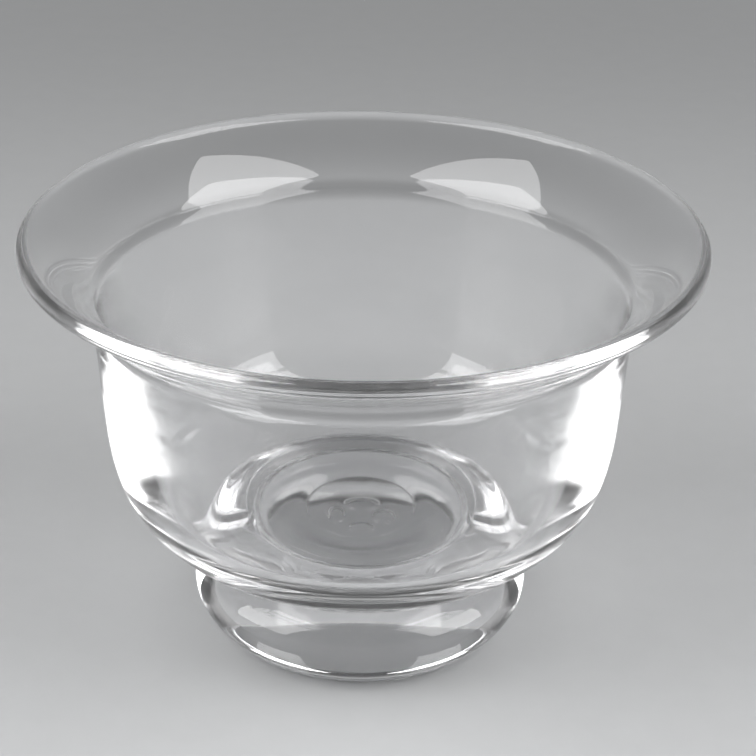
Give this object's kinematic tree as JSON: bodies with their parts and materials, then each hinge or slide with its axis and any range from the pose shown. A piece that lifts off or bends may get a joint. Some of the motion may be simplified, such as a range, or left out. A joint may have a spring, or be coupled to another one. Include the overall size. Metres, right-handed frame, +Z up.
{
  "type": "glass bowl",
  "caption": "Clear heavy glass bowl with a flared rim and rounded lip on a thick, hollow bun-shaped foot, for serving fruit or as a centrepiece.",
  "frame": {"origin": "centre of the flat ring under the foot, at the level of the table", "axes": "+Z up along the axis of the bowl; X and Y are free, because the bowl is a body of revolution"},
  "size_m": [0.23, 0.23, 0.147],
  "materials": {
    "clear_crystal": "colourless and clear, fire-polished; foot ring ground flat, pontil mark polished"
  },
  "bodies": {
    "root": {"bowl": "clear_crystal", "foot": "clear_crystal"}
  },
  "joints": []
}
